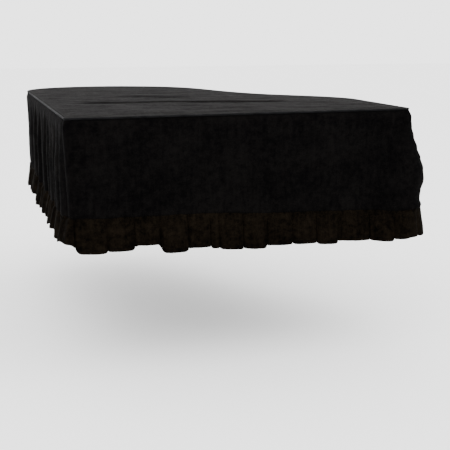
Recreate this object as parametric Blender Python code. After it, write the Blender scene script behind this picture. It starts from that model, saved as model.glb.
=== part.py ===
"""Fitted velvet cover of a grand piano: hollow, open below, and shaped as it hangs on the instrument.

X runs along the keyboard edge to the treble side, Y to the tail and Z up.
The origin is on the underside of the top, in the middle of the cover.
"""

import math
from bisect import bisect_right

import bmesh
import bpy
from mathutils import Vector
from mathutils.geometry import interpolate_bezier

# Driving dimensions, in metres
WIDTH = 1.500  # keyboard edge, corner to corner
LENGTH = 1.924  # keyboard edge to the end of the tail
CLOTH = 0.003  # velvet and its pile
PIPING_RADIUS = 0.004
SEAM_GAP = 0.0003  # clearance between two pieces that are sewn together
FRILL_GAP = 0.0007  # clearance between a wall and its frill, whose columns differ
CORNER_RADIUS = 0.020  # of the plan at the two front corners
PANEL_SEAM_SET = 0.030  # a side seam's distance behind its front corner

HALF_WIDTH = WIDTH / 2
FRONT = -LENGTH / 2
ARC_HANDLE = 0.5523 * CORNER_RADIUS
SEAM_LINE = FRONT + CORNER_RADIUS + PANEL_SEAM_SET
WALL_TOP = CLOTH / 2 - PIPING_RADIUS - SEAM_GAP
TOP_INSET = PIPING_RADIUS + SEAM_GAP

# The line of the piping round the top, seen from above and walked anticlockwise:
# name, x, y, heading in degrees, handle before the point, handle after it
PLAN = (
    ("bass seam", -HALF_WIDTH, SEAM_LINE, 270, 0.010, 0.010),
    ("front left corner", -HALF_WIDTH, FRONT + CORNER_RADIUS, 270, 0.010, ARC_HANDLE),
    ("front left", -HALF_WIDTH + CORNER_RADIUS, FRONT, 0, ARC_HANDLE, 0.40),
    ("front right", HALF_WIDTH - CORNER_RADIUS, FRONT, 0, 0.40, ARC_HANDLE),
    ("front right corner", HALF_WIDTH, FRONT + CORNER_RADIUS, 90, ARC_HANDLE, 0.010),
    ("treble seam", HALF_WIDTH, SEAM_LINE, 90, 0.010, 0.16),
    ("cheek end", HALF_WIDTH, -0.430, 90, 0.16, 0.17),
    ("bent side", 0.470, 0.000, 131, 0.17, 0.10),
    ("waist", 0.315, 0.280, 111, 0.11, 0.12),
    ("tail shoulder", 0.200, 0.630, 113, 0.12, 0.10),
    ("tail turn", 0.000, 0.860, 151, 0.11, 0.13),
    ("tail end", -0.360, LENGTH / 2, 180, 0.16, 0.22),
    ("tail seam", -HALF_WIDTH, 0.640, 270, 0.20, 0.50),
)
PLAN_STEPS = 24  # points on each Bezier piece of the plan

# Height of the seam between wall and frill: share of the way round, height
SEAM_HEIGHTS = (
    (0.000, -0.396),
    (0.010, -0.398),
    (0.090, -0.403),
    (0.160, -0.424),
    (0.240, -0.439),
    (0.262, -0.426),
    (0.300, -0.418),
    (0.420, -0.412),
    (0.620, -0.404),
    (0.760, -0.398),
    (0.900, -0.398),
    (1.000, -0.396),
)

# Folds that hang down the bass side, walked from the tail to the front:
# width along the wall, depth of the fold
BASS_FOLDS = (
    (0.150, 0.010),
    (0.110, 0.016),
    (0.170, 0.012),
    (0.095, 0.021),
    (0.130, 0.015),
    (0.085, 0.024),
    (0.145, 0.018),
    (0.105, 0.026),
    (0.120, 0.017),
    (0.160, 0.022),
    (0.100, 0.019),
    (0.125, 0.024),
    (0.105, 0.014),
)

FOLD_INSET = 0.009  # how far the folded sides hang behind the piping's line
SHOULDER = 0.007  # how far the cloth rounds out under the piping
SHOULDER_DROP = 0.030  # and how far under it

# Shallow waves of the front: place from the left corner, half width, height
FRONT_WAVES = (
    (0.140, 0.110, 0.004),
    (0.420, 0.150, 0.005),
    (0.690, 0.130, 0.003),
    (0.980, 0.160, 0.006),
    (1.230, 0.110, 0.004),
)

# Bulge of the loose cloth at the front right corner: height, reach past the corner
CORNER_BULGE = (
    (0.000, 0.000),
    (-0.030, 0.006),
    (-0.080, 0.010),
    (-0.120, 0.020),
    (-0.170, 0.038),
    (-0.215, 0.055),
    (-0.260, 0.070),
    (-0.310, 0.075),
    (-0.355, 0.064),
    (-0.400, 0.060),
    (-0.430, 0.066),
)
BULGE_REACH_FRONT = 0.230  # how far the bulge spreads over the front at the seam
BULGE_REACH_SIDE = 0.200  # and over the treble side

# Pleats of the frill along the front: right edge of each, depth, hem height
FRONT_PLEATS = (
    (-0.601, 0.020, -0.538),
    (-0.489, 0.017, -0.534),
    (-0.382, 0.016, -0.517),
    (-0.263, 0.024, -0.555),
    (-0.168, 0.016, -0.543),
    (-0.131, 0.009, -0.552),
    (-0.023, 0.019, -0.562),
    (0.085, 0.021, -0.567),
    (0.199, 0.018, -0.560),
    (0.312, 0.016, -0.562),
    (0.416, 0.020, -0.572),
    (0.567, 0.017, -0.566),
    (0.667, 0.021, -0.573),
    (0.740, 0.016, -0.560),
)
FRILL_LENGTH = 0.126  # seam to hem, round the treble side and the tail
BASS_FRILL_LENGTH = 0.102  # and along the bass side
SIDE_PLEAT = 0.118  # mean width of a pleat, away from the front
SIDE_PLEAT_DEPTH = 0.023
FRILL_FLARE = 0.014  # how far the hem stands out from the seam
HEM_ROUNDING = 0.006  # how much shorter a pleat is at its edges than in its middle
PLEAT_TUCK = 0.45  # share of a pleat's depth that lies behind the line of its seam

# Long creases in the top: x of one end, y there, x and y of the other, half width, height
TOP_CREASES = (
    (-0.700, -0.250, 0.450, -0.450, 0.060, 0.005),
    (-0.620, 0.110, 0.300, -0.060, 0.070, 0.004),
    (-0.350, -0.760, 0.350, -0.640, 0.055, 0.003),
    (-0.550, 0.520, 0.050, 0.440, 0.090, 0.003),
)
TOP_ROW = 0.090  # spacing along Y of the lines that let the top bend
TOP_COLUMN = 0.180  # and along X
TOP_FLAT_RIM = 0.070  # flat border of the top, inside its piping


def clamp(value):
    """The value held between 0 and 1."""
    return min(1.0, max(0.0, value))


def ease(value):
    """A smooth step from 0 to 1."""
    value = clamp(value)
    return value * value * (3 - 2 * value)


def hump(distance, half_width):
    """A smooth ridge: 1 on its line and 0 from half_width away."""
    if abs(distance) >= half_width:
        return 0.0
    return 0.5 + 0.5 * math.cos(math.pi * distance / half_width)


def read_table(table, key):
    """The second column of a two-column table at key in the first, which runs up or down."""
    rows = sorted(table)
    keys = [row[0] for row in rows]
    if key <= keys[0]:
        return rows[0][1]
    if key >= keys[-1]:
        return rows[-1][1]
    after = bisect_right(keys, key)
    low, high = rows[after - 1], rows[after]
    share = (key - low[0]) / (high[0] - low[0])
    return low[1] + (high[1] - low[1]) * ease(share)


class Plan:
    """The line round the top, by its length from the bass seam."""

    def __init__(self):
        self.points = []
        self.marks = {}
        for here, after in zip(PLAN, PLAN[1:] + PLAN[:1]):
            self.marks[here[0]] = len(self.points)
            knots = [Vector((row[1], row[2], 0.0)) for row in (here, after)]
            turns = [math.radians(row[3]) for row in (here, after)]
            ways = [Vector((math.cos(turn), math.sin(turn), 0.0)) for turn in turns]
            first_handle = knots[0] + ways[0] * here[5]
            last_handle = knots[1] - ways[1] * after[4]
            curve = interpolate_bezier(knots[0], first_handle, last_handle, knots[1], PLAN_STEPS + 1)
            self.points += curve[:-1]
        self.points.append(self.points[0].copy())
        self.lengths = [0.0]
        for start, end in zip(self.points, self.points[1:]):
            self.lengths.append(self.lengths[-1] + (end - start).length)
        self.total = self.lengths[-1]

    def station(self, mark):
        """The length along the line at which a named point of the plan lies."""
        return self.lengths[self.marks[mark]]

    def point(self, station):
        """The place on the line at a station, going round again past its end."""
        station %= self.total
        after = min(bisect_right(self.lengths, station), len(self.points) - 1)
        start, end = self.points[after - 1], self.points[after]
        span = self.lengths[after] - self.lengths[after - 1]
        return start.lerp(end, (station - self.lengths[after - 1]) / span)

    def outward(self, station):
        """The level direction that points out of the cover at a station."""
        step = 0.004
        along = self.point(station + step) - self.point(station - step)
        return Vector((along.y, -along.x, 0.0)).normalized()


PLAN_LINE = Plan()
FRONT_START = PLAN_LINE.station("front left")
FRONT_END = PLAN_LINE.station("front right")
RIGHT_CORNER = (FRONT_END + PLAN_LINE.station("front right corner")) / 2
LEFT_CORNER = (PLAN_LINE.station("front left corner") + FRONT_START) / 2
TREBLE_SEAM = PLAN_LINE.station("treble seam")
TAIL_SEAM = PLAN_LINE.station("tail seam")


def seam_height(station):
    """Height at which the frill is sewn to the wall."""
    return read_table(SEAM_HEIGHTS, (station % PLAN_LINE.total) / PLAN_LINE.total)


def fold_edges():
    """Where each fold of the bass side starts and ends, with its depth."""
    folds = []
    start = TAIL_SEAM
    fit = (PLAN_LINE.total - TAIL_SEAM) / sum(width for width, _ in BASS_FOLDS)
    for width, depth in BASS_FOLDS:
        folds.append((start, start + width * fit, depth))
        start += width * fit
    return folds


def plain_folds():
    """Wide, plain folds for the treble side and the tail, which the photograph doesn't show."""
    count = 15
    span = TAIL_SEAM - TREBLE_SEAM - 0.20
    folds = []
    start = TREBLE_SEAM + 0.20
    for number in range(count):
        width = span / count * (1 + 0.16 * math.sin(2.4 * number))
        depth = 0.012 + 0.004 * math.sin(1.7 * number + 0.5)
        folds.append((start, start + width, depth))
        start += width
    return folds


WALL_FOLDS = plain_folds() + fold_edges()


def side_folds(station, drop):
    """Outward reach of the hanging folds: none at the piping, deepening downwards."""
    station %= PLAN_LINE.total
    to_end = min(station - WALL_FOLDS[0][0], PLAN_LINE.total - station)
    inset = FOLD_INSET * ease(to_end / 0.12) * ease(drop / 0.55)
    for start, end, depth in WALL_FOLDS:
        if start <= station < end:
            share = (station - start) / (end - start)
            return depth * ease(drop / 0.55) * math.sin(math.pi * share) ** 2 - inset
    return 0.0


def front_waves(station, drop):
    """The front hangs almost flat, in shallow waves that show towards its seam."""
    along = station - FRONT_START
    return sum(height * hump(along - place, half) for place, half, height in FRONT_WAVES) * ease(drop)


def corner_bulge(station, height):
    """Loose cloth at the front right corner, which stands out like a cone below the corner."""
    reach = read_table(CORNER_BULGE, height)
    spread = clamp(height / CORNER_BULGE[-1][0])
    side = station - RIGHT_CORNER
    half_width = (BULGE_REACH_SIDE if side > 0 else BULGE_REACH_FRONT) * (0.25 + 0.75 * spread)
    bulge = reach * hump(side, half_width)
    hollow = 0.010 * hump(side + 0.75 * half_width, 0.35 * half_width) * ease(spread * 2)
    return max(bulge - hollow, 0.0)


def left_corner(station, drop):
    """The front left corner draws in a little below its piping."""
    half_round = PLAN_LINE.total / 2
    side = (station - LEFT_CORNER + half_round) % PLAN_LINE.total - half_round
    return -0.014 * hump(side, 0.110) * ease(drop)


def wall_reach(station, drop, height):
    """How far the wall stands out of the plan line."""
    rounding = SHOULDER * ease(-height / SHOULDER_DROP)
    reach = rounding + side_folds(station, drop) + front_waves(station, drop) + left_corner(station, drop)
    return reach + corner_bulge(station, height)


def wall_point(station, drop):
    """A point of the wall's middle layer: drop is 0 under the piping and 1 at the frill's seam."""
    height = WALL_TOP + (seam_height(station) - WALL_TOP) * drop
    place = PLAN_LINE.point(station) + PLAN_LINE.outward(station) * wall_reach(station, drop, height)
    return Vector((place.x, place.y, height))


def station_at_x(x):
    """The station on the straight front edge with this x."""
    return FRONT_START + x - PLAN_LINE.point(FRONT_START).x


def side_pleats():
    """Pleats from the end of the front row round the tail and back to the front left corner."""
    start = station_at_x(FRONT_PLEATS[-1][0])
    end = PLAN_LINE.total + station_at_x(-HALF_WIDTH + CORNER_RADIUS)
    count = round((end - start) / SIDE_PLEAT)
    shares = [1 + 0.22 * math.sin(2.1 * n) + 0.10 * math.sin(5.3 * n + 1) for n in range(count)]
    unit = (end - start) / sum(shares)
    pleats = []
    for number, share in enumerate(shares):
        depth = SIDE_PLEAT_DEPTH * (1 + 0.25 * math.sin(3.7 * number))
        drop = FRILL_LENGTH if start < TAIL_SEAM else BASS_FRILL_LENGTH
        drop += 0.008 * math.sin(1.9 * number) + 0.004 * math.sin(4.4 * number + 2)
        pleats.append((start, start + unit * share, depth, drop))
        start += unit * share
    return pleats


def front_pleats():
    """The front row of pleats, from the front left corner."""
    pleats = []
    start = station_at_x(-HALF_WIDTH + CORNER_RADIUS)
    for x, depth, hem in FRONT_PLEATS:
        end = station_at_x(x)
        pleats.append((start, end, depth, seam_height((start + end) / 2) - hem))
        start = end
    return pleats


PLEATS = front_pleats() + side_pleats()


def pleat_at(station):
    """The pleat over a station, and the share of its width that lies before the station."""
    first = PLEATS[0][0]
    while station < first:
        station += PLAN_LINE.total
    while station >= first + PLAN_LINE.total:
        station -= PLAN_LINE.total
    for number, (start, end, _, _) in enumerate(PLEATS):
        if start <= station < end:
            return number, (station - start) / (end - start)
    return len(PLEATS) - 1, 1.0


def frill_point(station, drop):
    """A point of the frill's middle layer: drop is 0 at its seam and 1 at the hem."""
    number, share = pleat_at(station)
    depth = PLEATS[number][2]
    near = PLEATS[(number - 1) % len(PLEATS)] if share < 0.5 else PLEATS[(number + 1) % len(PLEATS)]
    to_edge = min(share, 1 - share)
    own = 0.5 + 0.5 * ease(to_edge / 0.30)
    length = PLEATS[number][3] * own + near[3] * (1 - own) - HEM_ROUNDING * abs(2 * share - 1) ** 4
    crown = 1 - abs(2 * share - 1) ** 3.5
    opening = ease(drop / 0.14) * (0.75 + 0.25 * drop)
    seam = wall_point(station, 1.0)
    reach = depth * (crown - PLEAT_TUCK) * opening + FRILL_FLARE * ease(drop)
    place = seam + PLAN_LINE.outward(station) * reach
    return Vector((place.x, place.y, seam.z - FRILL_GAP - length * drop))


def level_normal(surface, station, drop):
    """The level direction square to a hanging cloth, pointing out of the cover."""
    step = 0.003
    along = surface(station + step, drop) - surface(station - step, drop)
    return Vector((along.y, -along.x, 0.0)).normalized()


def clear_scene():
    """Takes every object out of the open file."""
    for item in list(bpy.data.objects):
        bpy.data.objects.remove(item, do_unlink=True)


def velvet(name, colour):
    """Black plush: matt, with a soft sheen at its edges."""
    material = bpy.data.materials.new(name)
    material.use_nodes = True
    shader = material.node_tree.nodes["Principled BSDF"]
    shader.inputs["Base Color"].default_value = (*colour, 1.0)
    shader.inputs["Roughness"].default_value = 0.90
    shader.inputs["Metallic"].default_value = 0.0
    shader.inputs["Sheen Weight"].default_value = 0.6
    return material


def add_object(name, bm, material, collection):
    """Turns a bmesh into a named object in the collection."""
    mesh = bpy.data.meshes.new(name)
    bm.to_mesh(mesh)
    bm.free()
    mesh.shade_smooth()
    mesh.set_sharp_from_angle(angle=math.radians(60))
    mesh.materials.append(material)
    piece = bpy.data.objects.new(name, mesh)
    collection.objects.link(piece)
    return piece


def hanging_cloth(name, surface, stations, drops, material, collection):
    """A strip of cloth of even thickness that hangs in the folds of a surface function.

    Its grid is laid on the outer face and extruded inwards, square to the folds and level,
    so that its cut edges meet the next piece along their whole thickness.
    """
    bm = bmesh.new()
    columns, rows = len(stations) - 1, len(drops) - 1
    bmesh.ops.create_grid(bm, x_segments=columns, y_segments=rows, size=1.0)
    inwards = {}
    for vert in bm.verts:
        station = stations[round((vert.co.x + 1) / 2 * columns)]
        drop = drops[rows - round((vert.co.y + 1) / 2 * rows)]
        normal = level_normal(surface, station, drop)
        vert.co = surface(station, drop) + normal * (CLOTH / 2)
        inwards[vert.co.copy().freeze()] = -normal * CLOTH
    grown = bmesh.ops.extrude_face_region(bm, geom=bm.faces[:])
    for vert in (part for part in grown["geom"] if isinstance(part, bmesh.types.BMVert)):
        vert.co += inwards[vert.co.copy().freeze()]
    bmesh.ops.recalc_face_normals(bm, faces=bm.faces[:])
    bmesh.ops.triangulate(bm, faces=bm.faces[:])
    return add_object(name, bm, material, collection)


def wall_stations(start, end):
    """Columns of a wall panel: at its folds' edges, flanks and crests, and no further apart than a limit."""
    shares = (0.0, 0.25, 0.5, 0.75)
    marks = {start, end}
    for low, high, _ in WALL_FOLDS:
        marks.update(low + (high - low) * share for share in shares)
    kept = [mark for mark in sorted(marks) if start <= mark <= end]
    return fill_in(thin_out(kept, 0.012), 0.045)


def thin_out(marks, least):
    """Drops marks that crowd the one before, but keeps both ends."""
    kept = [marks[0]]
    for mark in marks[1:-1]:
        if mark - kept[-1] >= least and marks[-1] - mark >= least:
            kept.append(mark)
    return kept + [marks[-1]]


def fill_in(marks, most):
    """Adds marks so that none is further than most from the next."""
    filled = [marks[0]]
    for mark in marks[1:]:
        pieces = math.ceil((mark - filled[-1]) / most)
        before = filled[-1]
        filled += [before + (mark - before) * n / pieces for n in range(1, pieces + 1)]
    return filled


def corner_marks():
    """Extra columns where the plan turns round a front corner."""
    marks = []
    for corner, half in ((LEFT_CORNER, 0.016), (RIGHT_CORNER, 0.016)):
        marks += [corner - half, corner - half / 3, corner + half / 3, corner + half]
    return marks


def frill_stations(start, end):
    """Columns of a frill strip: the edges, flanks and crown of each pleat."""
    shares = (0.0, 0.07, 0.22, 0.50, 0.78, 0.93)
    marks = {start, end}
    for low, high, _, _ in PLEATS:
        for share in shares:
            mark = low + (high - low) * share
            marks.update((mark, mark - PLAN_LINE.total))
    kept = [mark for mark in sorted(marks) if start <= mark <= end]
    return thin_out(kept, 0.0035)


PANEL_RUNS = (
    ("front", 0.0, TREBLE_SEAM),
    ("treble", TREBLE_SEAM, TAIL_SEAM),
    ("bass", TAIL_SEAM, PLAN_LINE.total),
)


def make_walls(material, collection):
    """The three wall panels, sewn edge to edge."""
    drops = (0.0, 0.10, 0.28, 0.52, 0.76, 0.90, 1.0)
    for side, start, end in PANEL_RUNS:
        marks = wall_stations(start + SEAM_GAP / 2, end - SEAM_GAP / 2)
        marks += [mark for mark in corner_marks() if start < mark < end]
        marks = thin_out(sorted(marks), 0.005)
        hanging_cloth(side + "_wall", wall_point, marks, drops, material, collection)


def make_frill(material, collection):
    """The pleated frill, in one strip under each wall panel."""
    drops = (0.0, 0.12, 0.50, 1.0)
    for side, start, end in PANEL_RUNS:
        marks = frill_stations(start + SEAM_GAP / 2, end - SEAM_GAP / 2)
        hanging_cloth(side + "_frill", frill_point, marks, drops, material, collection)


def piping_stations():
    """Points of the piping: close together in the corners, wider apart on the long sides."""
    marks = {0.0, PLAN_LINE.total}
    marks.update(PLAN_LINE.station(row[0]) for row in PLAN)
    marks.update(corner_marks())
    return fill_in(thin_out(sorted(marks), 0.006), 0.075)[:-1]


def make_piping(material, collection):
    """The corded piping in the seam round the top."""
    curve = bpy.data.curves.new("top_piping", "CURVE")
    curve.dimensions = "3D"
    curve.bevel_depth = PIPING_RADIUS
    curve.bevel_resolution = 2
    spline = curve.splines.new("POLY")
    marks = piping_stations()
    spline.points.add(len(marks) - 1)
    for point, mark in zip(spline.points, marks):
        place = PLAN_LINE.point(mark)
        point.co = (place.x, place.y, CLOTH / 2, 1.0)
    spline.use_cyclic_u = True
    curve.materials.append(material)
    collection.objects.link(bpy.data.objects.new("top_piping", curve))


def crease_height(x, y):
    """Rise of the top's loose creases at a place."""
    rise = 0.0
    for x_start, y_start, x_end, y_end, half_width, height in TOP_CREASES:
        along = Vector((x_end - x_start, y_end - y_start))
        from_start = Vector((x - x_start, y - y_start))
        share = from_start.dot(along) / along.length_squared
        off_line = (from_start - along * clamp(share)).length
        fade = ease(4 * clamp(share)) * ease(4 * (1 - clamp(share)))
        rise += height * hump(off_line, half_width) * fade
    return rise


def rim_fade(x, y):
    """0 at the piping and 1 inside the flat border of the top."""
    nearest = min((point.xy - Vector((x, y))).length for point in PLAN_LINE.points)
    return ease((nearest - 0.010) / TOP_FLAT_RIM)


def lines_between(low, high, spacing):
    """Evenly spaced places between two limits, both left out."""
    count = math.ceil((high - low) / spacing)
    return [low + (high - low) * n / count for n in range(1, count)]


def make_top(material, collection):
    """The flat top, cut to the piano's outline, with a few long creases."""
    bm = bmesh.new()
    ring = []
    for mark in piping_stations():
        place = PLAN_LINE.point(mark) - PLAN_LINE.outward(mark) * TOP_INSET
        ring.append(bm.verts.new((place.x, place.y, CLOTH)))
    bm.faces.new(ring)
    rows = lines_between(FRONT, -FRONT, TOP_ROW)
    columns = lines_between(-HALF_WIDTH, HALF_WIDTH, TOP_COLUMN)
    cuts = [(Vector((0, y, 0)), Vector((0, 1, 0))) for y in rows]
    cuts += [(Vector((x, 0, 0)), Vector((1, 0, 0))) for x in columns]
    for place, normal in cuts:
        whole = bm.verts[:] + bm.edges[:] + bm.faces[:]
        bmesh.ops.bisect_plane(bm, geom=whole, plane_co=place, plane_no=normal)
    bmesh.ops.triangulate(bm, faces=bm.faces[:])
    grown = bmesh.ops.extrude_face_region(bm, geom=bm.faces[:])
    for vert in (part for part in grown["geom"] if isinstance(part, bmesh.types.BMVert)):
        vert.co.z -= CLOTH
    for vert in bm.verts:
        vert.co.z += crease_height(vert.co.x, vert.co.y) * rim_fade(vert.co.x, vert.co.y)
    bmesh.ops.recalc_face_normals(bm, faces=bm.faces[:])
    add_object("top_panel", bm, material, collection)


def main():
    clear_scene()
    cover = bpy.data.collections.new("grand_piano_cover")
    bpy.context.scene.collection.children.link(cover)
    body_velvet = velvet("velvet", (0.012, 0.011, 0.012))
    frill_velvet = velvet("frill_velvet", (0.016, 0.011, 0.008))
    make_top(body_velvet, cover)
    make_piping(body_velvet, cover)
    make_walls(body_velvet, cover)
    make_frill(frill_velvet, cover)


main()
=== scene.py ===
"""Black velvet looks for the grand piano cover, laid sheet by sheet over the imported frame."""

import math

import bmesh
import bpy
import numpy as np
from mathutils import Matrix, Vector, noise
from mathutils.geometry import interpolate_bezier

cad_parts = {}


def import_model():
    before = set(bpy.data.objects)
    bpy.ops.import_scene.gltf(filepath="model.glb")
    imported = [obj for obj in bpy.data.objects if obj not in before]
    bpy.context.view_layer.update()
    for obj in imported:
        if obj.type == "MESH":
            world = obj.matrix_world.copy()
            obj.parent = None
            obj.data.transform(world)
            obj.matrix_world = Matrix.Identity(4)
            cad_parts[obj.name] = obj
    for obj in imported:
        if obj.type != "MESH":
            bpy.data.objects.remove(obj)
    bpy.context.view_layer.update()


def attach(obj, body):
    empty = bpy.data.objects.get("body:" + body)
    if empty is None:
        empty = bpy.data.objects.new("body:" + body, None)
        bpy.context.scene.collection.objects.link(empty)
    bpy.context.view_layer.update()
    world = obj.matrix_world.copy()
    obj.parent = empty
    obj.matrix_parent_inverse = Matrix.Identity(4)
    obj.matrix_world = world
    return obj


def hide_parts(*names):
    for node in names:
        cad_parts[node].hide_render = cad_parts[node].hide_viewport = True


# Sizes of the cover, in metres, as its solids have them
WIDTH = 1.500  # keyboard edge, corner to corner
LENGTH = 1.924  # keyboard edge to the end of the tail
LID_HEIGHT = 1.072  # the lid's top above the floor
VELVET = 0.0022  # thickness of a sheet
PIPING_RADIUS = 0.004
CORNER_RADIUS = 0.020
PANEL_SEAM_SET = 0.030  # a side seam's distance behind its front corner
HEM = 0.014  # depth of the frill's hem
SEAM_ALLOWANCE = 0.007  # cloth that a seam turns in behind the face

HALF_WIDTH = WIDTH / 2
FRONT = -LENGTH / 2
ARC_HANDLE = 0.5523 * CORNER_RADIUS
SEAM_LINE = FRONT + CORNER_RADIUS + PANEL_SEAM_SET
PILE_LIFT = 0.0015  # outer face of the cloth beyond the middle of its solid
WALL_TOP = -0.0022

# The piping's line seen from above, anticlockwise:
# name, x, y, heading in degrees, handle before the point, handle after it
PLAN = (
    ("bass seam", -HALF_WIDTH, SEAM_LINE, 270, 0.010, 0.010),
    ("front left corner", -HALF_WIDTH, FRONT + CORNER_RADIUS, 270, 0.010, ARC_HANDLE),
    ("front left", -HALF_WIDTH + CORNER_RADIUS, FRONT, 0, ARC_HANDLE, 0.40),
    ("front right", HALF_WIDTH - CORNER_RADIUS, FRONT, 0, 0.40, ARC_HANDLE),
    ("front right corner", HALF_WIDTH, FRONT + CORNER_RADIUS, 90, ARC_HANDLE, 0.010),
    ("treble seam", HALF_WIDTH, SEAM_LINE, 90, 0.010, 0.16),
    ("cheek end", HALF_WIDTH, -0.430, 90, 0.16, 0.17),
    ("bent side", 0.470, 0.000, 131, 0.17, 0.10),
    ("waist", 0.315, 0.280, 111, 0.11, 0.12),
    ("tail shoulder", 0.200, 0.630, 113, 0.12, 0.10),
    ("tail turn", 0.000, 0.860, 151, 0.11, 0.13),
    ("tail end", -0.360, LENGTH / 2, 180, 0.16, 0.22),
    ("tail seam", -HALF_WIDTH, 0.640, 270, 0.20, 0.50),
)

# Height of the seam between wall and frill: share of the way round, height
SEAM_HEIGHTS = (
    (0.000, -0.396),
    (0.010, -0.398),
    (0.090, -0.403),
    (0.160, -0.424),
    (0.240, -0.439),
    (0.262, -0.426),
    (0.300, -0.418),
    (0.420, -0.412),
    (0.620, -0.404),
    (0.760, -0.398),
    (0.900, -0.398),
    (1.000, -0.396),
)

# Folds down the bass side, from the tail to the front: width, depth
BASS_FOLDS = (
    (0.150, 0.010),
    (0.110, 0.016),
    (0.170, 0.012),
    (0.095, 0.021),
    (0.130, 0.015),
    (0.085, 0.024),
    (0.145, 0.018),
    (0.105, 0.026),
    (0.120, 0.017),
    (0.160, 0.022),
    (0.100, 0.019),
    (0.125, 0.024),
    (0.105, 0.014),
)
PLAIN_FOLD_COUNT = 15  # round the treble side and the tail
PLAIN_FOLD_DEPTH = 0.012

FOLD_INSET = 0.009  # how far the folded sides hang behind the piping's line
SHOULDER = 0.007  # how far the cloth rounds out under the piping
SHOULDER_DROP = 0.030  # and how far under it

# Shallow waves of the front: place from the left corner, half width, height
FRONT_WAVES = (
    (0.140, 0.110, 0.004),
    (0.420, 0.150, 0.005),
    (0.690, 0.130, 0.003),
    (0.980, 0.160, 0.006),
    (1.230, 0.110, 0.004),
)

# Creases of the front and its corners, each a straight ridge or, below 0, a trough:
# station and height of one end, station and height of the other, half width, rise.
# Stations run from the left end of the straight front edge.
WALL_CREASES = (
    (0.000, -0.190, 0.026, -0.250, 0.013, 0.0040),
    (0.010, -0.200, 0.034, -0.262, 0.012, -0.0030),
    (0.020, -0.060, 0.110, -0.330, 0.030, 0.0025),
    (1.478, -0.020, 1.425, -0.120, 0.014, 0.0060),
    (1.460, -0.040, 1.360, -0.210, 0.024, -0.0050),
    (1.500, -0.130, 1.492, -0.250, 0.016, 0.0060),
    (1.520, -0.150, 1.528, -0.330, 0.022, -0.0060),
    (1.330, -0.428, 1.500, -0.418, 0.013, 0.0070),
    (1.300, -0.398, 1.470, -0.372, 0.020, -0.0050),
    (0.930, -0.090, 1.080, -0.300, 0.045, 0.0020),
    (0.290, -0.080, 0.330, -0.340, 0.040, 0.0018),
    (0.520, -0.120, 0.480, -0.360, 0.050, -0.0020),
    (0.780, -0.230, 0.880, -0.390, 0.036, 0.0020),
    (1.150, -0.140, 1.220, -0.390, 0.044, -0.0022),
)

# Bulge of the loose cloth at the front right corner: height, reach past the corner
CORNER_BULGE = (
    (0.000, 0.000),
    (-0.030, 0.006),
    (-0.080, 0.010),
    (-0.120, 0.020),
    (-0.170, 0.038),
    (-0.215, 0.055),
    (-0.260, 0.070),
    (-0.310, 0.075),
    (-0.355, 0.064),
    (-0.400, 0.060),
    (-0.430, 0.066),
)
BULGE_REACH_FRONT = 0.230
BULGE_REACH_SIDE = 0.200

# Pleats of the frill along the front: right edge, depth, hem height
FRONT_PLEATS = (
    (-0.601, 0.020, -0.538),
    (-0.489, 0.017, -0.534),
    (-0.382, 0.016, -0.517),
    (-0.263, 0.024, -0.555),
    (-0.168, 0.016, -0.543),
    (-0.131, 0.009, -0.552),
    (-0.023, 0.019, -0.562),
    (0.085, 0.021, -0.567),
    (0.199, 0.018, -0.560),
    (0.312, 0.016, -0.562),
    (0.416, 0.020, -0.572),
    (0.567, 0.017, -0.566),
    (0.667, 0.021, -0.573),
    (0.740, 0.016, -0.560),
)
FRILL_LENGTH = 0.126  # seam to hem, round the treble side and the tail
BASS_FRILL_LENGTH = 0.102  # and along the bass side
SIDE_PLEAT = 0.118
SIDE_PLEAT_DEPTH = 0.023
FRILL_FLARE = 0.014
HEM_ROUNDING = 0.006  # how much shorter a pleat is at its edges than in its middle
PLEAT_TUCK = 0.45  # share of a pleat's depth that lies behind the line of its seam
PLEAT_GATHER = 0.135  # how far a pleat's flanks are drawn in, as a share of its width

# Long creases in the top: x and y of one end, x and y of the other, half width, rise
TOP_CREASES = (
    (-0.700, -0.250, 0.450, -0.450, 0.060, 0.005),
    (-0.620, 0.110, 0.300, -0.060, 0.070, 0.004),
    (-0.350, -0.760, 0.350, -0.640, 0.055, 0.003),
    (-0.550, 0.520, 0.050, 0.440, 0.090, 0.003),
    (-0.720, -0.290, 0.470, -0.490, 0.020, -0.006),
    (-0.440, 0.080, 0.030, -0.130, 0.022, -0.005),
    (-0.220, -0.700, 0.200, -0.610, 0.020, -0.004),
    (-0.660, -0.480, 0.050, -0.560, 0.030, 0.003),
    (-0.500, 0.300, 0.150, 0.230, 0.030, -0.003),
    (-0.600, -0.830, 0.150, -0.850, 0.040, 0.002),
    (0.100, -0.300, 0.620, -0.620, 0.050, 0.002),
)
TOP_CENTRE = (-0.250, -0.150)  # every part of the rim is in a straight line of it

# How fine the sheets are, in metres between neighbouring points
WALL_COLUMN = 0.0055
WALL_ROWS = 64
FRILL_ROWS = 22
PLEAT_COLUMNS = 26
TOP_RINGS = 52
TOP_COLUMN = 0.011
CORD_COLUMN = 0.008
CORD_SIDES = 12

# The camera of the photograph
CAMERA_AT = (-1.162, -4.292, 0.333)
CAMERA_YAW = 17.67  # degrees from +Y towards +X
CAMERA_PITCH = -12.81
CAMERA_LENS = 68.18


def ease(value):
    """A smooth step from 0 to 1."""
    value = np.clip(value, 0.0, 1.0)
    return value * value * (3 - 2 * value)


def hump(distance, half_width):
    """A smooth ridge: 1 on its line and 0 from half_width away."""
    return 0.5 + 0.5 * np.cos(np.pi * np.clip(distance / half_width, -1.0, 1.0))


def read_table(table, key):
    """The second column of a two-column table, eased between its rows."""
    keys, values = np.array(sorted(table)).T
    after = np.clip(np.searchsorted(keys, key, side="right"), 1, len(keys) - 1)
    share = (key - keys[after - 1]) / (keys[after] - keys[after - 1])
    return values[after - 1] + (values[after] - values[after - 1]) * ease(share)


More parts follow.
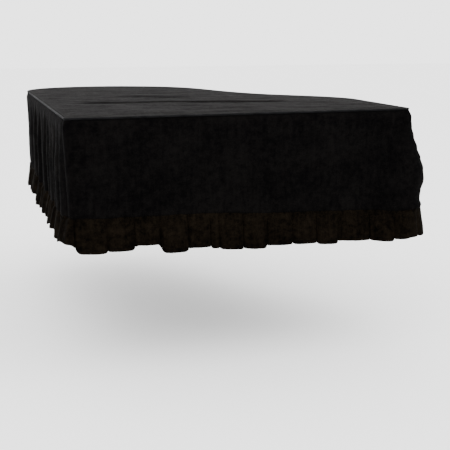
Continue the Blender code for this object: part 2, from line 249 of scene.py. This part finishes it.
def unevenness(across, down, width, height, seed):
    """Smooth random values from -1 to 1 on a cloth, in hills of the given width and height."""
    across, down = np.broadcast_arrays(across, down)
    spots = zip((across / width).flat, (down / height).flat)
    values = [noise.noise(Vector((a, b, seed))) for a, b in spots]
    return np.array(values).reshape(across.shape)


class PlanLine:
    """The line round the top, by its length from the bass seam."""

    def __init__(self):
        ring, marks = [], {}
        for here, after in zip(PLAN, PLAN[1:] + PLAN[:1]):
            marks[here[0]] = len(ring)
            turns = [math.radians(row[3]) for row in (here, after)]
            ways = [Vector((math.cos(turn), math.sin(turn))) for turn in turns]
            knots = [Vector(row[1:3]) for row in (here, after)]
            handles = knots[0] + ways[0] * here[5], knots[1] - ways[1] * after[4]
            ring += interpolate_bezier(knots[0], *handles, knots[1], 41)[:-1]
        ring.append(ring[0])
        self.x, self.y = np.array([tuple(point) for point in ring]).T
        self.lengths = np.append(0.0, np.cumsum(np.hypot(np.diff(self.x), np.diff(self.y))))
        self.total = self.lengths[-1]
        self.stations = {name: self.lengths[index] for name, index in marks.items()}

    def point(self, station):
        """x and y on the line."""
        station = np.mod(station, self.total)
        return np.interp(station, self.lengths, self.x), np.interp(station, self.lengths, self.y)

    def outward(self, station):
        """x and y of the level direction that points out of the cover."""
        step = 0.004
        x_low, y_low = self.point(station - step)
        x_high, y_high = self.point(station + step)
        length = np.hypot(x_high - x_low, y_high - y_low)
        return (y_high - y_low) / length, (x_low - x_high) / length


LINE = PlanLine()
FRONT_START = LINE.stations["front left"]
TREBLE_SEAM = LINE.stations["treble seam"]
TAIL_SEAM = LINE.stations["tail seam"]
LEFT_CORNER = (LINE.stations["front left corner"] + FRONT_START) / 2
RIGHT_CORNER = (LINE.stations["front right"] + LINE.stations["front right corner"]) / 2
PANELS = (
    ("front", 0.0, TREBLE_SEAM),
    ("treble", TREBLE_SEAM, TAIL_SEAM),
    ("bass", TAIL_SEAM, LINE.total),
)


def apart(station, mark):
    """Distance along the line from a mark, the shorter way round."""
    return np.mod(station - mark + LINE.total / 2, LINE.total) - LINE.total / 2


def seam_height(station):
    """Height at which the frill is sewn on."""
    return read_table(SEAM_HEIGHTS, np.mod(station, LINE.total) / LINE.total)


def all_folds():
    """Start, end and depth of each hanging fold, from the treble seam to the bass seam."""
    start = TREBLE_SEAM + 0.20
    span = TAIL_SEAM - start
    rows = []
    for number in range(PLAIN_FOLD_COUNT):
        width = span / PLAIN_FOLD_COUNT * (1 + 0.16 * math.sin(2.4 * number))
        rows.append((width, PLAIN_FOLD_DEPTH + 0.004 * math.sin(1.7 * number + 0.5)))
    folds = []
    for width, depth in rows:
        folds.append((start, start + width, depth))
        start += width
    start = TAIL_SEAM
    fit = (LINE.total - TAIL_SEAM) / sum(width for width, _ in BASS_FOLDS)
    for width, depth in BASS_FOLDS:
        folds.append((start, start + width * fit, depth))
        start += width * fit
    return folds


def hanging_folds(station, drop):
    """Outward reach of the folds: none at the piping, deeper and narrower towards the frill."""
    folds = all_folds()
    walked = np.mod(station, LINE.total)
    to_end = np.minimum(walked - folds[0][0], LINE.total - walked)
    reach = -FOLD_INSET * ease(to_end / 0.12) * ease(drop / 0.55)
    for start, end, depth in folds:
        share = np.clip((walked - start) / (end - start), 0.0, 1.0)
        ridge = np.sin(np.pi * share) ** (2.0 - 0.9 * drop)
        reach = reach + depth * ease(drop / 0.55) * ridge
    return reach


def creases(station, height):
    """The straight creases of the front and its corners."""
    along = apart(station, FRONT_START)
    rise = 0.0
    for s_start, z_start, s_end, z_end, half_width, lift in WALL_CREASES:
        way = np.hypot(s_end - s_start, z_end - z_start)
        forward = (s_end - s_start) / way, (z_end - z_start) / way
        share = ((along - s_start) * forward[0] + (height - z_start) * forward[1]) / way
        off_line = (along - s_start) * forward[1] - (height - z_start) * forward[0]
        rise = rise + lift * hump(off_line, half_width) * ease(4 * share) * ease(4 * (1 - share))
    return rise


def corner_bulge(station, height):
    """Loose cloth at the front right corner."""
    reach = read_table(CORNER_BULGE, height)
    spread = np.clip(height / CORNER_BULGE[-1][0], 0.0, 1.0)
    side = apart(station, RIGHT_CORNER)
    half_width = np.where(side > 0, BULGE_REACH_SIDE, BULGE_REACH_FRONT) * (0.25 + 0.75 * spread)
    bulge = reach * hump(side, half_width)
    hollow = 0.010 * hump(side + 0.75 * half_width, 0.35 * half_width) * ease(spread * 2)
    return np.maximum(bulge - hollow, 0.0)


def seam_fade(station):
    """0 at the upright seams between the panels and 1 a hand's width away."""
    nearest = np.full(np.shape(station), 1.0)
    for mark in (0.0, TREBLE_SEAM, TAIL_SEAM):
        nearest = np.minimum(nearest, np.abs(apart(station, mark)))
    return ease(nearest / 0.060), nearest


def wall_reach(station, drop, height):
    """How far the wall's middle stands out of the piping's line."""
    front = hump(apart(station, (FRONT_START + RIGHT_CORNER) / 2), 1.1)
    along = apart(station, FRONT_START)
    reach = SHOULDER * ease(-height / SHOULDER_DROP)
    reach = reach + hanging_folds(station, drop) + corner_bulge(station, height)
    for place, half_width, lift in FRONT_WAVES:
        reach = reach + lift * hump(along - place, half_width) * ease(drop)
    reach = reach - 0.014 * hump(apart(station, LEFT_CORNER), 0.110) * ease(drop)
    fade, to_seam = seam_fade(station)
    lively = fade * ease(drop / 0.2)
    slack = 1 - 0.65 * front
    reach = reach + 0.0045 * slack * lively * unevenness(station, height, 0.045, 0.55, 3.1)
    reach = reach + 0.0040 * lively * unevenness(station, height, 0.110, 0.140, 7.7)
    reach = reach + 0.0016 * lively * unevenness(station, height, 0.030, 0.045, 11.3)
    pucker = ease((drop - 0.86) / 0.14) * fade
    reach = reach + 0.0022 * pucker * unevenness(station, height, 0.014, 0.160, 17.9)
    tuck = 0.0016 * np.exp(-(((1 - drop) * 0.42 / 0.006) ** 2))
    return reach + creases(station, height) - tuck - 0.0018 * np.exp(-((to_seam / 0.005) ** 2))


def wall_surface(station, drop, turned):
    """Points of a wall's outer face: drop is 0 under the piping and 1 at the frill's seam.

    turned is how far the point lies behind the face, in the cloth that a seam turns in.
    """
    height = WALL_TOP + (seam_height(station) - WALL_TOP) * drop
    return stand_out(station, wall_reach(station, drop, height) + PILE_LIFT - turned, height)


def stand_out(station, reach, height):
    """Points at a reach outside the piping's line."""
    x, y = LINE.point(station)
    x_out, y_out = LINE.outward(station)
    return np.stack(np.broadcast_arrays(x + x_out * reach, y + y_out * reach, height), axis=-1)


def pleat_rows():
    """Start, end, depth and length of each pleat, once round from the front left corner."""
    pleats = []
    start = FRONT_START
    for x, depth, hem in FRONT_PLEATS:
        end = FRONT_START + x + HALF_WIDTH - CORNER_RADIUS
        pleats.append((start, end, depth, float(seam_height((start + end) / 2)) - hem))
        start = end
    finish = LINE.total + FRONT_START
    count = round((finish - start) / SIDE_PLEAT)
    shares = [1 + 0.22 * math.sin(2.1 * n) + 0.10 * math.sin(5.3 * n + 1) for n in range(count)]
    unit = (finish - start) / sum(shares)
    for number, share in enumerate(shares):
        depth = SIDE_PLEAT_DEPTH * (1 + 0.25 * math.sin(3.7 * number))
        drop = FRILL_LENGTH if start < TAIL_SEAM else BASS_FRILL_LENGTH
        drop += 0.008 * math.sin(1.9 * number) + 0.004 * math.sin(4.4 * number + 2)
        pleats.append((start, start + unit * share, depth, drop))
        start += unit * share
    return pleats


def frill_surface(station, drop, turned):
    """Points of the frill's outer face: drop is 0 at its seam and 1 at the hem.

    turned is how far the point lies behind the face and, at the top, up behind the wall.
    """
    rows = np.array(pleat_rows())
    walked = np.where(station < rows[0, 0], station + LINE.total, station)
    number = np.clip(np.searchsorted(rows[:, 0], walked, side="right") - 1, 0, len(rows) - 1)
    start, end, depth, length = np.moveaxis(rows[number], -1, 0)
    width = end - start
    share = np.clip((walked - start) / width, 0.0, 1.0)
    near = rows[(number + np.where(share < 0.5, -1, 1)) % len(rows), 3]
    own = 0.5 + 0.5 * ease(np.minimum(share, 1 - share) / 0.30)
    length = length * own + near * (1 - own) - HEM_ROUNDING * np.abs(2 * share - 1) ** 4
    lean = 0.22 * np.sin(2.7 * number + 1.1)
    turn = 2 * np.pi * (share + lean * share * (1 - share) * 0.6)
    gather = PLEAT_GATHER * (0.55 + 0.45 * ease(drop / 0.3))
    along = start + width * share - width * gather * np.sin(turn)
    crown = (0.5 - 0.5 * np.cos(turn)) ** 0.62
    opening = ease(0.25 + drop / 0.16) * (0.75 + 0.25 * drop)
    height = seam_height(along) - 0.0005 - length * drop
    seam = wall_reach(along, np.ones_like(along), seam_height(along))
    reach = seam + depth * (crown - PLEAT_TUCK) * opening + FRILL_FLARE * ease(drop)
    fan = walked + (share - 0.5) * width * (0.5 - 0.5 * drop)
    reach = reach + 0.0034 * unevenness(fan, height, 0.012, 0.26, 23.1) * ease(1.3 - drop)
    reach = reach + 0.0050 * unevenness(fan, height, 0.036, 0.16, 29.3) * ease(drop / 0.3)
    reach = reach + 0.0007 * ease((length * drop - length + HEM) / 0.002)
    return stand_out(along, reach + PILE_LIFT - turned, height + 1.5 * turned * (drop == 0))


def turned_in(stations, drops, at_top, at_bottom):
    """Stations, drops and turn of a strip whose ends, and top or bottom if told so, are turned in."""
    stations = np.concatenate((stations[:1], stations, stations[-1:]))
    ends = np.zeros(len(stations))
    ends[[0, -1]] = SEAM_ALLOWANCE
    edges = np.zeros(len(drops))
    if at_top:
        drops, edges = np.append(drops[:1], drops), np.append(SEAM_ALLOWANCE, edges)
    if at_bottom:
        drops, edges = np.append(drops, drops[-1:]), np.append(edges, SEAM_ALLOWANCE)
    turned = np.maximum(ends[None, :], edges[:, None])
    return *np.broadcast_arrays(stations[None, :], drops[:, None]), turned


def lay_grid(points, chart, closed=False):
    """A bmesh grid with its rows from top to bottom at the given points, and a UV map in metres."""
    rows, columns = points.shape[:2]
    bm = bmesh.new()
    bmesh.ops.create_grid(bm, x_segments=columns - 1, y_segments=rows - 1, size=1.0)
    places = points[::-1].reshape(-1, 3)
    flat = chart[::-1].reshape(-1, 2)
    bm.verts.index_update()
    chart_layer = bm.loops.layers.uv.new("cloth")
    for face in bm.faces:
        for loop in face.loops:
            loop[chart_layer].uv = flat[loop.vert.index]
    for vert, place in zip(bm.verts, places):
        vert.co = place
    if closed:
        bmesh.ops.remove_doubles(bm, verts=bm.verts[:], dist=1e-6)
    return bm


def cloth_chart(points, drops_m):
    """UVs in metres: the way along the middle of the cloth, and the way down it."""
    middle = points[points.shape[0] // 2]
    steps = np.linalg.norm(np.diff(middle, axis=0), axis=1)
    across = np.append(0.0, np.cumsum(steps))
    return np.stack(np.broadcast_arrays(across[None, :], drops_m), axis=-1), across[-1]


def add_piece(name, bm, finish, node):
    """Makes an object of a bmesh, rides it on the part and replaces its solid."""
    mesh = bpy.data.meshes.new(name)
    bm.to_mesh(mesh)
    bm.free()
    mesh.shade_smooth()
    mesh.materials.append(finish)
    piece = bpy.data.objects.new(name, mesh)
    bpy.context.scene.collection.objects.link(piece)
    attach(piece, "root")
    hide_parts(node)
    return piece


def thicken(piece):
    """Gives a sheet its thickness, on its inner side."""
    skin = piece.modifiers.new("velvet", "SOLIDIFY")
    skin.thickness = VELVET
    skin.offset = -1.0


class Wire:
    """A socket of a material; Python's arithmetic on it adds Math nodes."""

    def __init__(self, paint, socket):
        self.paint = paint
        self.socket = socket

    def math(self, operation, *others):
        return self.paint.node("ShaderNodeMath", {"operation": operation}, dict(enumerate((self, *others))))

    def __add__(self, other):
        return self.math("ADD", other)

    __radd__ = __add__

    def __mul__(self, other):
        return self.math("MULTIPLY", other)

    __rmul__ = __mul__

    def __sub__(self, other):
        return self.math("SUBTRACT", other)

    def __rsub__(self, other):
        return self.paint.number(other).math("SUBTRACT", self)

    def above(self, other):
        return self.math("GREATER_THAN", other)


class Paint:
    """A Principled material that is put together from wires."""

    def __init__(self, name):
        self.material = bpy.data.materials.new(name)
        self.material.use_nodes = True
        self.tree = self.material.node_tree
        self.shader = self.tree.nodes["Principled BSDF"]

    def node(self, kind, settings=None, sockets=None, output=0):
        """Adds a node: its settings first, then the values or wires of its sockets."""
        made = self.tree.nodes.new(kind)
        for name, value in (settings or {}).items():
            setattr(made, name, value)
        for name, value in (sockets or {}).items():
            self.feed(made.inputs[name], value)
        return Wire(self, made.outputs[output])

    def feed(self, socket, value):
        if isinstance(value, Wire):
            self.tree.links.new(value.socket, socket)
        else:
            socket.default_value = value

    def number(self, value):
        return self.node("ShaderNodeMath", {"operation": "ADD"}, {0: value, 1: 0.0})

    def place(self, source="Object"):
        return self.node("ShaderNodeTexCoord", output=source)

    def scaled(self, vector, size):
        """A place divided by the size of a pattern, in metres along each axis."""
        scale = tuple(1 / length for length in size)
        return self.node("ShaderNodeVectorMath", {"operation": "MULTIPLY"}, {0: vector, 1: scale})

    def noise(self, vector, size, detail=2.0, rough=0.5):
        """Noise from 0 to 1 with hills of the given size."""
        sockets = {"Vector": self.scaled(vector, size), "Scale": 1.0, "Detail": detail, "Roughness": rough}
        return self.node("ShaderNodeTexNoise", None, sockets, "Fac")

    def spread(self, wire, low, high, to_low, to_high):
        """Maps one range of values on another, held at its ends."""
        ends = {"From Min": low, "From Max": high, "To Min": to_low, "To Max": to_high}
        return self.node("ShaderNodeMapRange", {"clamp": True}, {"Value": wire, **ends})

    def blend(self, factor, first, second):
        """A colour between two."""
        sockets = {"Factor": factor, 6: first, 7: second}
        return self.node("ShaderNodeMix", {"data_type": "RGBA"}, sockets, 2)

    def part(self, vector, axis):
        return self.node("ShaderNodeSeparateXYZ", None, {0: vector}, axis)


def stitches(paint, across, down, line, length=0.0032):
    """Height of a row of stitches: thread lying across a narrow ditch."""
    near = paint.spread((down - line).math("ABSOLUTE"), 0.0, 0.0016, 1.0, 0.0)
    beat = (across * (1 / length)).math("FRACT")
    thread = paint.spread((beat - 0.5).math("ABSOLUTE"), 0.30, 0.42, 1.0, 0.0)
    return near * (thread * 0.55 - 1.0), near * thread


def velvet(name, dark, worn, gloss, sheen, tint, row):
    """Black velvet with brushed pile, crushed places and a stitched row at the given drop."""
    paint = Paint(name)
    chart, place = paint.place("UV"), paint.place()
    across, down = paint.part(chart, 0), paint.part(chart, 1)
    brushed = paint.noise(place, (0.17, 0.17, 0.13), 3.0, 0.6)
    streaks = paint.noise(chart, (0.016, 0.110, 1.0), 2.0, 0.5)
    crush = paint.noise(place, (0.026, 0.026, 0.022), 3.0, 0.65)
    pile = paint.noise(place, (0.0018, 0.0018, 0.0018), 1.0, 0.5)
    fluff = paint.noise(place, (0.0060, 0.0060, 0.0060), 2.0, 0.6)
    lay = brushed * 0.34 + streaks * 0.22 + crush * 0.44
    shade = paint.spread(lay + (pile - 0.5) * 0.12 + (fluff - 0.5) * 0.30, 0.38, 0.64, 0.0, 1.0)
    colour = paint.blend(shade, (*dark, 1.0), (*worn, 1.0))
    height = pile * 0.00035 + fluff * 0.00060 + crush * 0.0020
    ditch, thread = stitches(paint, across, down, row)
    height = height + ditch * 0.0012
    colour = paint.blend(thread * 0.8, colour, (0.0012, 0.0012, 0.0013, 1.0))
    paint.feed(paint.shader.inputs["Base Color"], colour)
    paint.feed(paint.shader.inputs["Roughness"], paint.spread(lay, 0.35, 0.65, 0.92, 0.72))
    bump = paint.node("ShaderNodeBump", None, {"Strength": 1.0, "Distance": 1.0, "Height": height})
    paint.feed(paint.shader.inputs["Normal"], bump)
    paint.shader.inputs["Specular IOR Level"].default_value = gloss
    paint.shader.inputs["Sheen Weight"].default_value = sheen
    paint.shader.inputs["Sheen Roughness"].default_value = 0.42
    paint.shader.inputs["Sheen Tint"].default_value = (*tint, 1.0)
    return paint.material


def piping_velvet_painted_sheen():
    """Velvet cut on the slant round a cord, with the slanting strain that this gives it, and a lighter, bluish
    colour that is partly painted sheen.
    """
    paint = Paint("piping_velvet_painted_sheen")
    chart, place = paint.place("UV"), paint.place()
    slant = (paint.part(chart, 0) + paint.part(chart, 1) * 1.4) * (1 / 0.011)
    strain = slant.math("SINE")
    pile = paint.noise(place, (0.0018, 0.0018, 0.0018), 1.0, 0.5)
    worn = paint.noise(place, (0.060, 0.060, 0.060), 3.0, 0.6)
    shade = paint.spread(worn + (pile - 0.5) * 0.2, 0.35, 0.65, 0.0, 1.0)
    # Lighter and bluer than the walls' velvet: random wear, and partly a painted bluish sheen.
    colour = paint.blend(shade, (0.0010, 0.0010, 0.0011, 1.0), (0.0030, 0.0030, 0.0034, 1.0))
    paint.feed(paint.shader.inputs["Base Color"], colour)
    paint.feed(paint.shader.inputs["Roughness"], paint.spread(worn, 0.3, 0.7, 0.85, 0.65))
    height = pile * 0.0003 + strain * 0.00025
    bump = paint.node("ShaderNodeBump", None, {"Strength": 1.0, "Distance": 1.0, "Height": height})
    paint.feed(paint.shader.inputs["Normal"], bump)
    paint.shader.inputs["Specular IOR Level"].default_value = 0.05
    paint.shader.inputs["Sheen Weight"].default_value = 0.008
    paint.shader.inputs["Sheen Roughness"].default_value = 0.40
    paint.shader.inputs["Sheen Tint"].default_value = (0.85, 0.88, 1.0, 1.0)
    return paint.material


def make_top(finish):
    """The flat top: rings from a centre point out to the piping, with creases and a sewn rim."""
    stations = np.linspace(0.0, LINE.total, round(LINE.total / TOP_COLUMN) + 1)
    shares = np.append(np.linspace(0.0, 0.90, TOP_RINGS - 14), np.linspace(0.91, 1.0, 14))
    x_rim, y_rim = LINE.point(stations)
    x_out, y_out = LINE.outward(stations)
    inset = PIPING_RADIUS * 0.75
    x_rim, y_rim = x_rim - x_out * inset, y_rim - y_out * inset
    share = shares[:, None]
    x = TOP_CENTRE[0] + (x_rim - TOP_CENTRE[0]) * share
    y = TOP_CENTRE[1] + (y_rim - TOP_CENTRE[1]) * share
    from_rim = (1 - share) * np.hypot(x_rim - TOP_CENTRE[0], y_rim - TOP_CENTRE[1])
    inner = ease((from_rim - 0.010) / 0.070)
    z = 0.0030 + top_creases(x, y) * inner + 0.0040 * ease(from_rim / 0.110)
    z = z + 0.0030 * unevenness(x, y, 0.300, 0.090, 41.0) * inner
    z = z + 0.0016 * unevenness(x, y, 0.110, 0.040, 43.0) * inner
    z = z + 0.0024 * hump(from_rim - 0.010, 0.009) - 0.0010 * hump(from_rim, 0.004)
    points = np.stack((x, y, z), axis=-1)
    chart = np.stack(np.broadcast_arrays(stations[None, :], from_rim), axis=-1)
    bm = lay_grid(points, chart, closed=True)
    piece = add_piece("top_velvet_painted_light", bm, finish, "top_panel")
    thicken(piece)
    return piece


def top_creases(x, y):
    """Rise of the top's long creases."""
    rise = 0.0
    for x_start, y_start, x_end, y_end, half_width, lift in TOP_CREASES:
        way = np.hypot(x_end - x_start, y_end - y_start)
        forward = (x_end - x_start) / way, (y_end - y_start) / way
        share = ((x - x_start) * forward[0] + (y - y_start) * forward[1]) / way
        off_line = (x - x_start) * forward[1] - (y - y_start) * forward[0]
        wander = 0.010 * np.sin(7.0 * share + x_start) + 0.004 * np.sin(19.0 * share + y_start)
        fade = ease(4 * share) * ease(4 * (1 - share))
        rise = rise + lift * hump(off_line + wander, half_width) * fade
    return rise


def make_piping(finish):
    """The velvet-covered cord in the seam round the top."""
    stations = np.linspace(0.0, LINE.total, round(LINE.total / CORD_COLUMN) + 1)
    angles = np.linspace(math.pi, -math.pi, CORD_SIDES + 1)[:, None]
    lump = 1 + 0.05 * unevenness(stations[None, :], angles * 0, 0.020, 1.0, 51.0)
    lump[:, -1] = lump[:, 0]
    radius = PIPING_RADIUS * lump
    points = stand_out(stations[None, :], radius * np.cos(angles), 0.0015 + radius * np.sin(angles))
    chart = np.stack(np.broadcast_arrays(stations[None, :], angles * PIPING_RADIUS), axis=-1)
    bm = lay_grid(points, chart, closed=True)
    bmesh.ops.recalc_face_normals(bm, faces=bm.faces[:])
    return add_piece("edge_piping", bm, finish, "top_piping")


def make_wall(side, start, end, finish):
    """One hanging panel, sewn to the piping above."""
    count = round((end - start) / WALL_COLUMN) + 1
    drops = np.linspace(0.0, 1.0, WALL_ROWS)
    points = wall_surface(*turned_in(np.linspace(start, end, count), drops, False, True))
    chart, width = cloth_chart(points, WALL_TOP - points[..., 2])
    bm = lay_grid(points, chart)
    piece = add_piece(side + "_velvet", bm, finish, side + "_wall")
    thicken(piece)
    return piece


def make_frill(side, start, end, finish):
    """One strip of the pleated frill, with a stitched hem."""
    marks = {start, end}
    for low, high, _, _ in pleat_rows():
        pleat = np.linspace(low, high, PLEAT_COLUMNS, endpoint=False)
        marks.update(float(mark) for mark in (*pleat, *(pleat - LINE.total)) if start < mark < end)
    drops = np.linspace(0.0, 1.0, FRILL_ROWS) ** 1.25
    points = frill_surface(*turned_in(np.array(sorted(marks)), drops, True, False))
    to_hem = points[..., 2] - points[-1:, :, 2]
    chart, width = cloth_chart(points, to_hem)
    bm = lay_grid(points, chart)
    piece = add_piece(side + "_ruffle", bm, finish, side + "_frill")
    thicken(piece)
    return piece


def make_studio():
    """A pale floor, a white surround, soft light and the photograph's camera."""
    mesh = bpy.data.meshes.new("floor")
    bm = bmesh.new()
    bmesh.ops.create_grid(bm, x_segments=1, y_segments=1, size=30.0)
    bmesh.ops.translate(bm, verts=bm.verts[:], vec=(0, 0, -LID_HEIGHT))
    bm.to_mesh(mesh)
    bm.free()
    paper = Paint("paper")
    paper.shader.inputs["Base Color"].default_value = (0.93, 0.93, 0.93, 1.0)
    paper.shader.inputs["Roughness"].default_value = 0.95
    mesh.materials.append(paper.material)
    floor = bpy.data.objects.new("floor", mesh)
    bpy.context.scene.collection.objects.link(floor)

    world = bpy.data.worlds.new("studio")
    world.use_nodes = True
    world.node_tree.nodes["Background"].inputs["Color"].default_value = (1.0, 1.0, 1.0, 1.0)
    world.node_tree.nodes["Background"].inputs["Strength"].default_value = 3.0
    bpy.context.scene.world = world
    add_light("key", (-2.6, -3.4, 3.2), 2.4, 60.0)
    add_light("fill", (3.6, -2.6, 2.2), 2.0, 40.0)

    camera = bpy.data.objects.new("camera", bpy.data.cameras.new("camera"))
    camera.data.lens = CAMERA_LENS
    camera.data.sensor_width = 36.0
    yaw, pitch = math.radians(CAMERA_YAW), math.radians(CAMERA_PITCH)
    ahead = (math.sin(yaw) * math.cos(pitch), math.cos(yaw) * math.cos(pitch), math.sin(pitch))
    camera.location = CAMERA_AT
    camera.rotation_euler = Vector(ahead).to_track_quat("-Z", "Y").to_euler()
    bpy.context.scene.collection.objects.link(camera)
    bpy.context.scene.camera = camera


def add_light(name, place, size, power):
    """A square soft light that faces the middle of the cover."""
    light = bpy.data.lights.new(name, "AREA")
    light.size = size
    light.energy = power
    lamp = bpy.data.objects.new(name, light)
    lamp.location = place
    lamp.rotation_euler = (Vector((0, 0, -0.2)) - Vector(place)).to_track_quat("-Z", "Y").to_euler()
    bpy.context.scene.collection.objects.link(lamp)


def main():
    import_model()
    make_studio()
    plain = velvet(
        "velvet", (0.0008, 0.0007, 0.0008), (0.0026, 0.0023, 0.0022), 0.006, 0.0006, (1, 0.97, 1.0), 0.004
    )
    # The top's velvet is lighter than the walls': painted light, for the overhead light and grazing sheen that
    # fall on the top.
    top = velvet(
        "top_velvet_painted_light", (0.0012, 0.0011, 0.0012), (0.0040, 0.0035, 0.0033), 0.014, 0.0042, (1, 0.92, 0.89), 0.012
    )
    frill = velvet(
        "frill_velvet", (0.0005, 0.0004, 0.0003), (0.0044, 0.0031, 0.0019), 0.006, 0.0006, (1, 0.85, 0.7), HEM
    )
    make_top(top)
    cord = make_piping(piping_velvet_painted_sheen())
    for side, start, end in PANELS:
        wall = make_wall(side, start, end, plain)
        make_frill(side, start, end, frill)


main()
